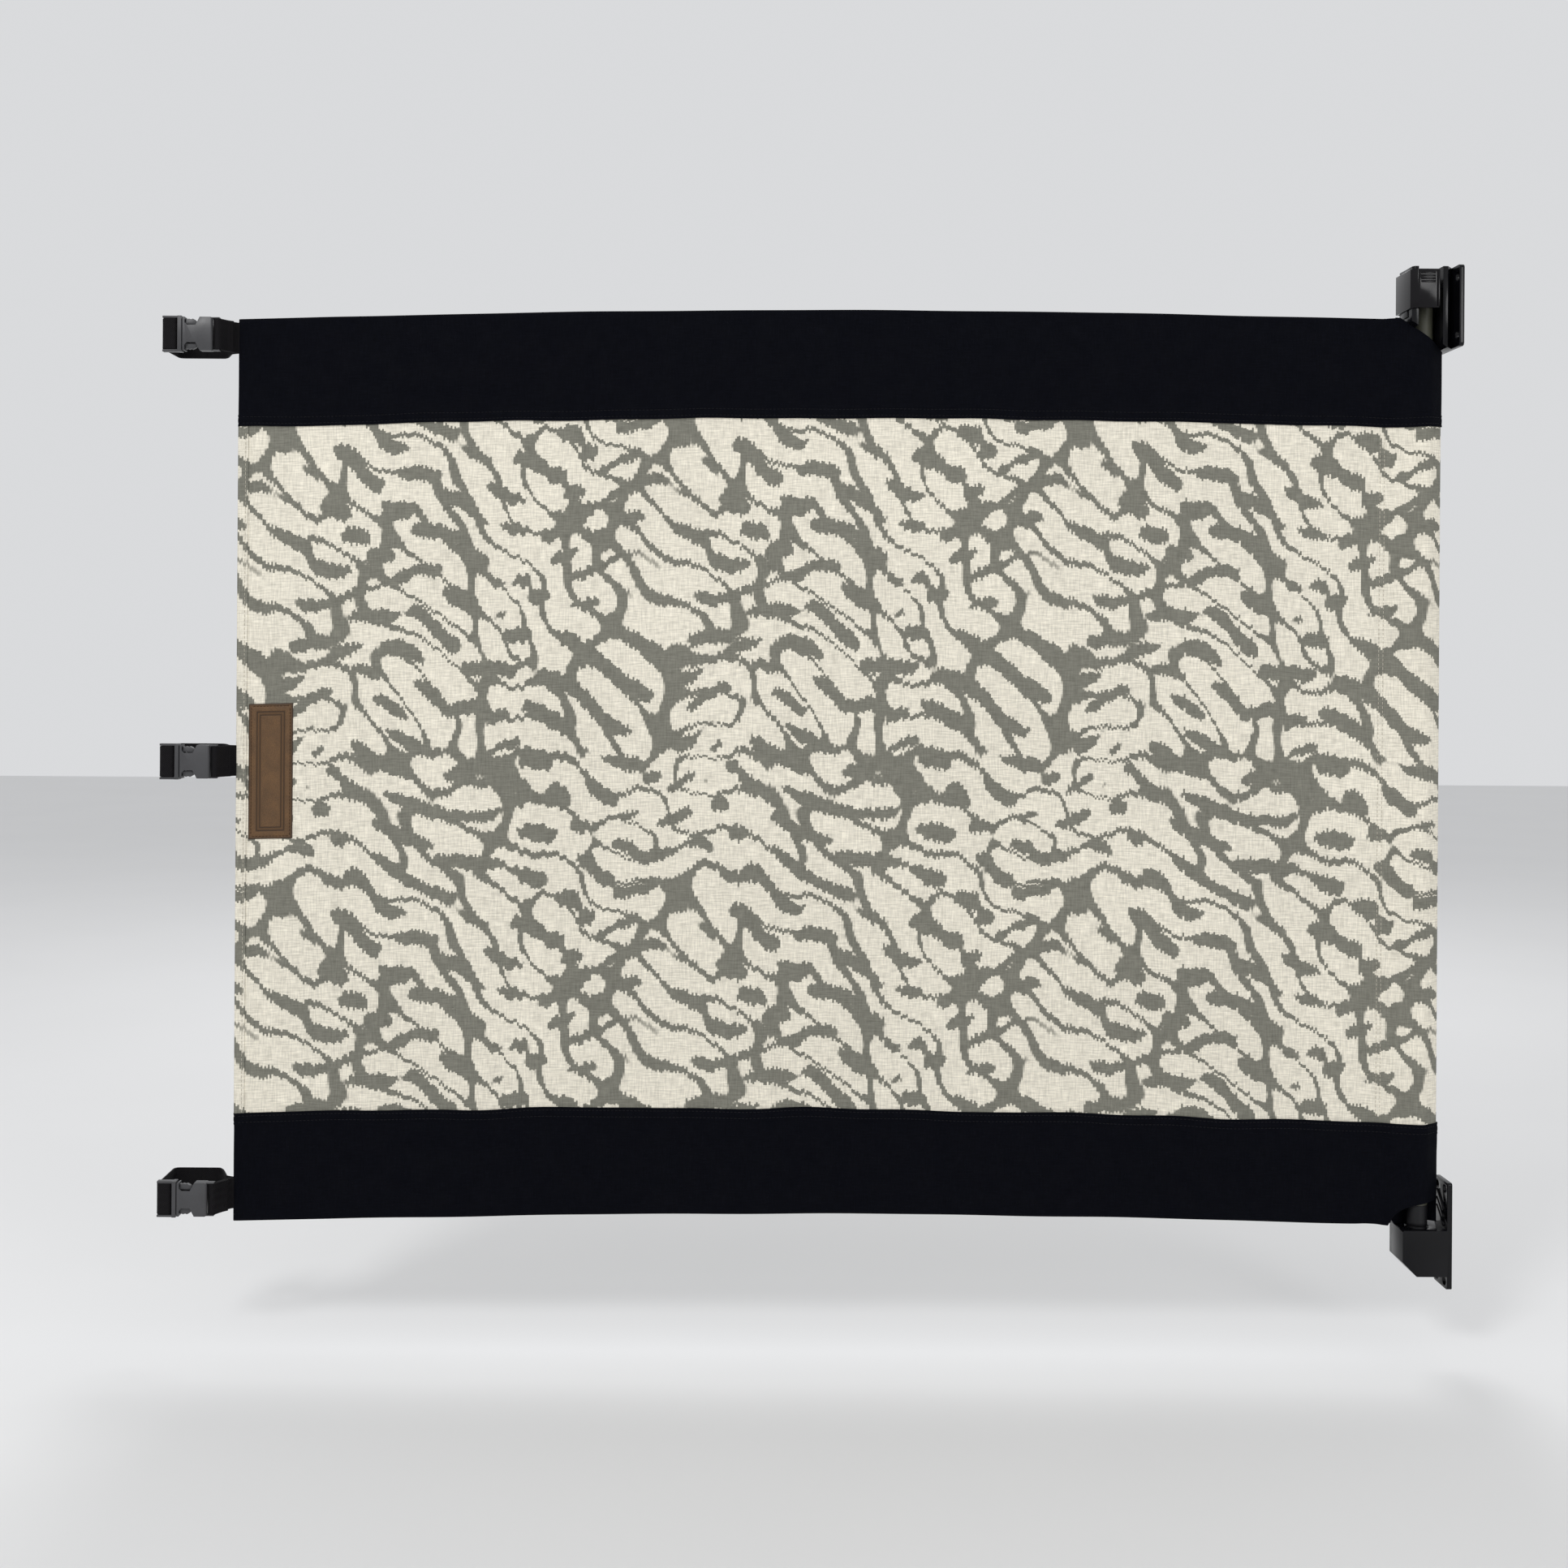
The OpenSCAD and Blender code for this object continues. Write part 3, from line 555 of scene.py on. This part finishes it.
class Finish:
    """A material under construction: its Principled shader, and short ways to add nodes in front of it."""

    def __init__(self, name, roughness=0.5, specular=0.5, sheen=0.0):
        self.material = bpy.data.materials.new(name)
        self.material.use_nodes = True
        self.tree = self.material.node_tree
        self.shader = self.tree.nodes["Principled BSDF"]
        for socket, value in {"Roughness": roughness, "Specular IOR Level": specular,
                              "Sheen Weight": sheen}.items():
            self.shader.inputs[socket].default_value = value
        if sheen:
            self.shader.inputs["Sheen Roughness"].default_value = 0.4

    def node(self, kind, inputs, out=0, **settings):
        n = self.tree.nodes.new(kind)
        for key, value in settings.items():
            setattr(n, key, value)
        for key, value in inputs.items():
            self.put(n.inputs[key], value)
        return n.outputs[out]

    def put(self, socket, value):
        if isinstance(value, bpy.types.NodeSocket):
            self.tree.links.new(value, socket)
        else:
            socket.default_value = value

    def calc(self, operation, a, b=0.0, c=0.0):
        return self.node("ShaderNodeMath", {0: a, 1: b, 2: c}, operation=operation)

    def flat(self):
        """Place on the cloth before it was hung, in metres."""
        return self.node("ShaderNodeAttribute", {}, out="Vector", attribute_name="flat")

    def place(self):
        """Place in the frame at rest, in metres."""
        return self.node("ShaderNodeTexCoord", {}, out="Object")

    def split(self, vector):
        n = self.tree.nodes.new("ShaderNodeSeparateXYZ")
        self.put(n.inputs[0], vector)
        return n.outputs

    def join(self, x, y, z=0.0):
        return self.node("ShaderNodeCombineXYZ", {0: x, 1: y, 2: z})

    def scaled(self, vector, x, y, z=1.0):
        return self.node("ShaderNodeVectorMath", {0: vector, 1: (x, y, z)}, operation="MULTIPLY")

    def noise(self, vector, scale, detail=2.0):
        return self.node("ShaderNodeTexNoise", {"Vector": vector, "Scale": scale, "Detail": detail},
                         out="Fac")

    def ranged(self, value, a, b, c, d):
        return self.node("ShaderNodeMapRange", {0: value, 1: a, 2: b, 3: c, 4: d})

    def mix(self, share, a, b, kind="MIX"):
        return self.node("ShaderNodeMix", {0: share, 6: a, 7: b}, out=2, data_type="RGBA", blend_type=kind)

    def shade(self, colour, factor):
        """The colour made lighter or darker by a factor that varies over the surface."""
        return self.mix(1.0, colour, self.join(factor, factor, factor), "MULTIPLY")

    def bump(self, height, distance, strength=1.0):
        self.put(self.shader.inputs["Normal"], self.node(
            "ShaderNodeBump", {"Height": height, "Distance": distance, "Strength": strength}))

    def weave(self, u, v, pitch):
        """Over-and-under of a plain weave, -1 to 1."""
        turn = 2 * math.pi / pitch
        return self.calc("MULTIPLY", self.calc("COSINE", self.calc("MULTIPLY", u, turn)),
                         self.calc("COSINE", self.calc("MULTIPLY", v, turn)))

    def done(self, colour, roughness=None):
        self.put(self.shader.inputs["Base Color"], colour)
        if roughness is not None:
            self.put(self.shader.inputs["Roughness"], roughness)
        return self.material


PRINT_CELL = (0.332, 0.388)     # the print's repeat: all its waves are on this lattice
PRINT_THREAD = 1.5 * MM         # width of the columns that give the strokes stepped edges
PRINT_STEP = 4 * MM             # how far a column may shift
STROKE_LEVEL = 0.76             # more of it leaves thinner grey lines between the strokes
CROSSING_GAIN, CROSSING_LEVEL = 1.8, -0.50      # the same for the lines across them
JOIN = 0.6                      # how rounded the corners are where two lines meet
CREAM, GREY = srgb(229, 223, 207), srgb(124, 123, 113)


def lattice_waves(seed, n, lengths, centre, spread):
    """Random waves on the print's lattice: their wave vectors, phases and strengths."""
    r = np.random.RandomState(seed)
    found = []
    for i in range(21):
        for j in range(-20, 21):
            k = np.array([i / PRINT_CELL[0], j / PRINT_CELL[1]])
            size = np.hypot(*k)
            if i == 0 and j < 0 or size == 0 or not 1 / lengths[1] <= size <= 1 / lengths[0]:
                continue
            if abs((math.degrees(math.atan2(k[1], k[0])) - centre + 90) % 180 - 90) <= spread:
                found.append(k)
    rows = []
    for t in r.permutation(len(found))[:n]:
        phase = r.rand() * 2 * math.pi
        rows.append((*(2 * math.pi * found[t]), phase, (0.6 + 0.8 * r.rand()) / math.sqrt(n / 2)))
    return rows


def summed(finish, point, rows, scale=1.0):
    """Sum of waves at a point whose third number is 1, so that it picks up the phase."""
    total = 0.0
    for kx, ky, phase, strength in rows:
        turn = finish.node("ShaderNodeVectorMath", {0: point, 1: (kx, ky, phase)}, out="Value",
                           operation="DOT_PRODUCT")
        total = finish.calc("MULTIPLY_ADD", finish.calc("COSINE", turn), strength * scale, total)
    return total


def printed_cloth():
    """Cream brush strokes on grey: two sets of warped waves, cut off at a level, on a slub weave."""
    f = Finish("printed_cloth", roughness=0.92, specular=0.12, sheen=0.06)
    x, y, _ = f.split(f.flat())
    column = f.calc("FLOOR", f.calc("DIVIDE", x, PRINT_THREAD))
    shift = f.node("ShaderNodeTexWhiteNoise", {"W": column}, out="Value", noise_dimensions="1D")
    u = f.calc("MULTIPLY", column, PRINT_THREAD)
    v = f.calc("MULTIPLY_ADD", shift, PRINT_STEP, y)
    point = f.join(u, v, 1.0)
    warp = [summed(f, point, lattice_waves(13, 8, (0.14, 0.40), 0, 90), 8 * MM),
            summed(f, point, lattice_waves(12, 8, (0.14, 0.40), 0, 40), 12 * MM)]
    point = f.join(f.calc("ADD", u, warp[0]), f.calc("ADD", v, warp[1]), 1.0)
    strokes = summed(f, point, lattice_waves(5, 24, (0.024, 0.042), 74, 46))
    crossing = f.calc("ABSOLUTE", summed(f, point, lattice_waves(8, 14, (0.044, 0.080), 58, 42)))
    inside = f.calc("SMOOTH_MIN", f.calc("ADD", strokes, STROKE_LEVEL),
                    f.calc("MULTIPLY_ADD", crossing, CROSSING_GAIN, CROSSING_LEVEL), JOIN)
    cream = f.ranged(inside, -0.05, 0.05, 0.0, 1.0)
    along = f.noise(f.scaled(f.flat(), 90, 850), 1.0)
    down = f.noise(f.scaled(f.flat(), 850, 80), 1.0)
    slub = f.calc("MULTIPLY", f.ranged(along, 0.3, 0.7, 0.80, 1.10), f.ranged(down, 0.3, 0.7, 0.84, 1.09))
    cloudy = f.ranged(f.noise(f.flat(), 9.0), 0.3, 0.7, 0.97, 1.02)
    weave = f.weave(x, y, 1.3 * MM)
    height = f.calc("ADD", f.calc("MULTIPLY", weave, 0.25), f.calc("ADD", along, down))
    f.bump(height, 0.25 * MM, 0.55)
    return f.done(f.shade(f.mix(cream, GREY, CREAM), f.calc("MULTIPLY", slub, cloudy)))


def plain_cloth(name, colour, pitch, sheen, vary, specular):
    f = Finish(name, roughness=0.9, specular=specular, sheen=sheen)
    x, y, _ = f.split(f.flat())
    along = f.noise(f.scaled(f.flat(), 100, 900), 1.0)
    down = f.noise(f.scaled(f.flat(), 900, 90), 1.0)
    weave = f.weave(x, y, pitch)
    f.bump(f.calc("ADD", f.calc("MULTIPLY", weave, 0.5), f.calc("ADD", along, down)), 0.2 * MM, 0.5)
    tone = f.calc("MULTIPLY", f.ranged(along, 0.3, 0.7, 1 - vary, 1 + vary),
                  f.ranged(down, 0.3, 0.7, 1 - vary, 1 + vary))
    return f.done(f.shade(colour, tone), f.ranged(f.noise(f.flat(), 60.0), 0.3, 0.7, 0.82, 0.95))


def thread_finish(name, colour):
    f = Finish(name, roughness=0.75, specular=0.2, sheen=0.02)
    x, y, _ = f.split(f.flat())
    twist = f.calc("SINE", f.calc("MULTIPLY_ADD", x, 9000.0, f.calc("MULTIPLY", y, 2500.0)))
    f.bump(twist, 0.05 * MM, 0.6)
    # The colour follows the twist: painted shade in its grooves and painted highlight on its ridges.
    return f.done(f.shade(colour, f.ranged(twist, -1, 1, 0.75, 1.1)))


def webbing_finish():
    """Black webbing: ribs that slant one way and then the other, in four bands across its width. Its colour
    has painted highlight on the ribs' tops and painted shade between them.
    """
    f = Finish("webbing", roughness=0.7, specular=0.15, sheen=0.01)
    x, y, _ = f.split(f.flat())
    rise = f.calc("PINGPONG", f.calc("ADD", y, 0.1), WEB_W / 8)
    rib = f.calc("SINE", f.calc("MULTIPLY", f.calc("ADD", x, rise), 2 * math.pi / (1.5 * MM)))
    fuzz = f.noise(f.scaled(f.flat(), 900, 900), 1.0)
    f.bump(f.calc("MULTIPLY_ADD", fuzz, 0.6, rib), 0.16 * MM, 0.7)
    # tone: painted highlight on the ribs' tops and painted shade between them (from rib), times a random
    # fuzz
    tone = f.calc("MULTIPLY", f.ranged(rib, -1, 1, 0.55, 1.35), f.ranged(fuzz, 0.3, 0.7, 0.85, 1.15))
    return f.done(f.shade(srgb(12, 10, 13), tone), f.ranged(rib, -1, 1, 0.8, 0.6))


def leather_finish():
    f = Finish("patch_leather", roughness=0.5, specular=0.35)
    x, y, pressed = f.split(f.flat())
    cell = f.node("ShaderNodeTexVoronoi", {"Vector": f.flat(), "Scale": 900.0}, out="Distance",
                  feature="DISTANCE_TO_EDGE")
    grain = f.ranged(cell, 0, 0.2, 0, 1)
    cloudy = f.noise(f.flat(), 70.0, 5.0)
    half_w, half_h = (patch_hi.x - patch_lo.x) / 2, (patch_hi.z - patch_lo.z) / 2
    edge = f.calc("MAXIMUM", f.calc("SUBTRACT", f.calc("ABSOLUTE", x), half_w),
                  f.calc("SUBTRACT", f.calc("ABSOLUTE", y), half_h))
    worn = f.ranged(edge, -2.2 * MM, -0.3 * MM, 0.0, 0.75)
    tone = f.calc("MULTIPLY", f.ranged(cloudy, 0.3, 0.7, 0.78, 1.2), f.ranged(grain, 0, 1, 0.75, 1.05))
    f.bump(f.calc("MULTIPLY_ADD", cloudy, 0.6, grain), 0.12 * MM, 0.6)
    worn = f.calc("MAXIMUM", worn, f.calc("MULTIPLY", pressed, 0.8))
    colour = f.mix(worn, srgb(97, 70, 42), srgb(38, 25, 16))
    return f.done(f.shade(colour, tone), f.ranged(cloudy, 0.3, 0.7, 0.42, 0.62))


def moulded(name, colour, low, high, specular=0.5, grain=0.12, scale=1800.0):
    """Moulded plastic or coated metal: fine grain, handling marks and a little unevenness."""
    f = Finish(name, roughness=low, specular=specular)
    fine = f.noise(f.place(), scale, 2.0)
    patchy = f.noise(f.place(), 45.0, 4.0)
    rubbed = f.noise(f.scaled(f.place(), 260, 260, 30), 1.0, 3.0)
    f.bump(f.calc("MULTIPLY_ADD", patchy, 0.5, fine), grain * MM, 0.35)
    rough = f.calc("MAXIMUM", f.ranged(patchy, 0.3, 0.7, low, high), f.ranged(rubbed, 0.55, 0.8, low, high))
    tone = f.calc("MULTIPLY", f.ranged(patchy, 0.3, 0.7, 0.88, 1.12), f.ranged(fine, 0.3, 0.7, 0.93, 1.07))
    return f.done(f.shade(colour, tone), rough)


print_material = printed_cloth()
backing = plain_cloth("backing_cloth", srgb(128, 126, 118), 1.2 * MM, 0.05, 0.08, 0.12)
band_material = plain_cloth("band_cloth", srgb(8, 9, 15), 0.8 * MM, 0.0, 0.16, 0.05)
black_thread = thread_finish("black_thread", srgb(14, 14, 20))
cream_thread = thread_finish("cream_thread", srgb(196, 190, 175))
brown_thread = thread_finish("brown_thread", srgb(70, 46, 28))
web_material = webbing_finish()
leather_material = leather_finish()

CAD_FINISHES = {
    "bracket": moulded("bracket_plastic", srgb(9, 9, 12), 0.12, 0.24, specular=0.22, grain=0.04),
    "lock": moulded("lock_plastic", srgb(10, 8, 11), 0.10, 0.20, specular=0.22, grain=0.03),
    "rod": moulded("rod_coating", srgb(60, 60, 50), 0.38, 0.52, specular=0.4, grain=0.08, scale=1400.0),
    "plug": moulded("plug_plastic", srgb(14, 14, 17), 0.42, 0.6, specular=0.25),
    "buckle": moulded("buckle_plastic", srgb(62, 62, 64), 0.32, 0.46, specular=0.4, grain=0.05),
    "batten": moulded("batten_plastic", srgb(200, 200, 196), 0.4, 0.55),
}


SHARP_ANGLE = math.radians(32)
BEVEL_ANGLE = math.radians(28)


def even_edges():
    """Modifier nodes that shade faces smooth and keep corners over SHARP_ANGLE sharp."""
    group = bpy.data.node_groups.new("even_edges", "GeometryNodeTree")
    group.interface.new_socket("Geometry", in_out="INPUT", socket_type="NodeSocketGeometry")
    group.interface.new_socket("Geometry", in_out="OUTPUT", socket_type="NodeSocketGeometry")
    new, link = group.nodes.new, group.links.new
    start, end, bare = new("NodeGroupInput"), new("NodeGroupOutput"), new("GeometryNodeRemoveAttribute")
    bare.inputs["Name"].default_value = "custom_normal"
    faces, edges = new("GeometryNodeSetShadeSmooth"), new("GeometryNodeSetShadeSmooth")
    edges.domain = "EDGE"
    angle, low = new("GeometryNodeInputMeshEdgeAngle"), new("FunctionNodeCompare")
    low.operation, low.data_type = "LESS_EQUAL", "FLOAT"
    low.inputs[1].default_value = SHARP_ANGLE
    link(start.outputs[0], bare.inputs["Geometry"])
    link(bare.outputs["Geometry"], faces.inputs["Geometry"])
    link(faces.outputs["Geometry"], edges.inputs["Geometry"])
    link(angle.outputs["Unsigned Angle"], low.inputs[0])
    link(low.outputs[0], edges.inputs["Shade Smooth"])
    link(edges.outputs["Geometry"], end.inputs[0])
    return group


edge_group = even_edges()


def finished(name, material, edge):
    """A CAD node kept as it is drawn, with its edges rounded and its material."""
    obj = nodes[name]
    for place in obj.material_slots:
        place.material = material
    weld = obj.modifiers.new("weld", "WELD")
    weld.merge_threshold = 0.01 * MM
    plain = obj.modifiers.new("plain", "DECIMATE")
    plain.decimate_type, plain.angle_limit = "DISSOLVE", math.radians(0.5)
    bevel = obj.modifiers.new("edges", "BEVEL")
    bevel.width, bevel.segments, bevel.limit_method, bevel.angle_limit = edge, 2, "ANGLE", BEVEL_ANGLE
    bevel.use_clamp_overlap = True
    obj.modifiers.new("even", "NODES").node_group = edge_group


for name, kind, edge in (
        ("top_bracket", "bracket", 0.7), ("bottom_bracket", "bracket", 0.7), ("slide_lock", "lock", 0.8),
        ("wall_rod", "rod", 0.3), ("rod_top_plug", "plug", 0.4), ("rod_bottom_plug", "plug", 0.4),
        ("hem_batten", "batten", 0.3)):
    finished(name, CAD_FINISHES[kind], edge * MM)
for name in STRAPS:
    for part in ("buckle_socket", "buckle_plug", "prong_upper", "prong_lower"):
        finished(f"{name}_{part}", CAD_FINISHES["buckle"], 0.35 * MM)


def foot_collar(name):
    """Black collar on the rod's foot, where it leaves the cloth above the cup."""
    profile = ((6, 0), (8.05, 0), (8.25, 0.3), (8.25, 3.7), (8.15, 4),      # radius and height, in mm
               (8.15, 17.3), (8.05, 17.6), (7.6, 17.6), (7.6, 6), (6, 6))
    turn = np.linspace(0, 2 * math.pi, 65)[:-1]
    points = [(ROD_X + r * MM * math.cos(a), r * MM * math.sin(a), bottom_lo.z - 2 * MM + z * MM)
              for r, z in profile for a in turn]
    n, m = len(turn), len(profile)
    faces = [(k * n + i, k * n + (i + 1) % n, (k + 1) % m * n + (i + 1) % n, (k + 1) % m * n + i)
             for k in range(m) for i in range(n)]
    build = Build()
    build.add(points, faces, points)
    collar = build.make(name)
    collar.data.materials.append(CAD_FINISHES["plug"])
    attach(collar, "rod")


foot_collar("rod_foot_collar")

# ---------------------------------------------------------------- what the pieces are, stand for and ride on

for piece, material, slot, *stands_for in (
        (front, print_material, "printed_cloth", "front_panel"),
        (back, backing, "backing_cloth", "back_panel"),
        (upper_band, band_material, "band_cloth", "top_band"),
        (lower_band, band_material, "band_cloth", "bottom_band"),
        (hem, print_material, "binding_cloth", "hem_binding"),
        (leather, leather_material, "patch_leather", "label_patch"),
        (upper_thread, black_thread, "band_cloth"),
        (lower_thread, black_thread, "band_cloth"),
        (seams, cream_thread, "printed_cloth"),
        (leather_thread, brown_thread, "patch_leather")):
    piece.data.materials.append(material)
    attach(piece, "gate")
    if stands_for:
        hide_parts(*stands_for)
for piece in webbing:
    piece.data.materials.append(web_material)

# ---------------------------------------------------------------- stage, light and camera

scene = bpy.context.scene
FLOOR_Z = cad_box[0][2] - 60 * MM
corners = ((-7, -7), (6, -7), (6, 7), (-7, 7))
floor = mesh_object("floor", [(x, y, FLOOR_Z) for x, y in corners], [(0, 1, 2, 3)])
paint = Finish("floor", roughness=0.8, specular=0.2)
uneven = paint.ranged(paint.noise(paint.place(), 3.0), 0.3, 0.7, 0.985, 1.0)
floor.data.materials.append(paint.done(paint.shade(srgb(226, 226, 226), uneven)))

world = bpy.data.worlds.new("studio")
scene.world = world
world.use_nodes = True
background = world.node_tree.nodes["Background"]
background.inputs["Color"].default_value = (0.97, 0.98, 1, 1)
background.inputs["Strength"].default_value = 0.72


def lamp(name, place, aim, size, power):
    data = bpy.data.lights.new(name, "AREA")
    data.shape, data.size, data.energy = "DISK", size, power
    obj = bpy.data.objects.new(name, data)
    scene.collection.objects.link(obj)
    obj.location = place
    obj.rotation_euler = (Vector(aim) - Vector(place)).to_track_quat("-Z", "Y").to_euler()


middle = ((HEM_X + FOLD_X) / 2, 0, (CLOTH_Z0 + CLOTH_Z1) / 2)
lamp("key", (-1.9, -2.2, 2.2), middle, 0.8, 30)
lamp("fill", (1.0, -2.4, 1.1), middle, 1.0, 14)
lamp("back", (-0.4, 2.0, 2.2), middle, 1.4, 22)

CAMERA_PLACE = (-0.600, -1.515, 0.475)
CAMERA_ROLL = math.radians(-0.38)
VIEW_ANGLE = math.radians(46.67)
VIEW_SHIFT = (0.0348, -0.081)

camera = bpy.data.objects.new("camera", bpy.data.cameras.new("camera"))
scene.collection.objects.link(camera)
scene.camera = camera
camera.location = CAMERA_PLACE
camera.rotation_euler = (math.pi / 2, CAMERA_ROLL, 0)
camera.data.lens = camera.data.sensor_width / 2 / math.tan(VIEW_ANGLE / 2)
camera.data.shift_x, camera.data.shift_y = VIEW_SHIFT
scene.view_settings.view_transform = "Standard"
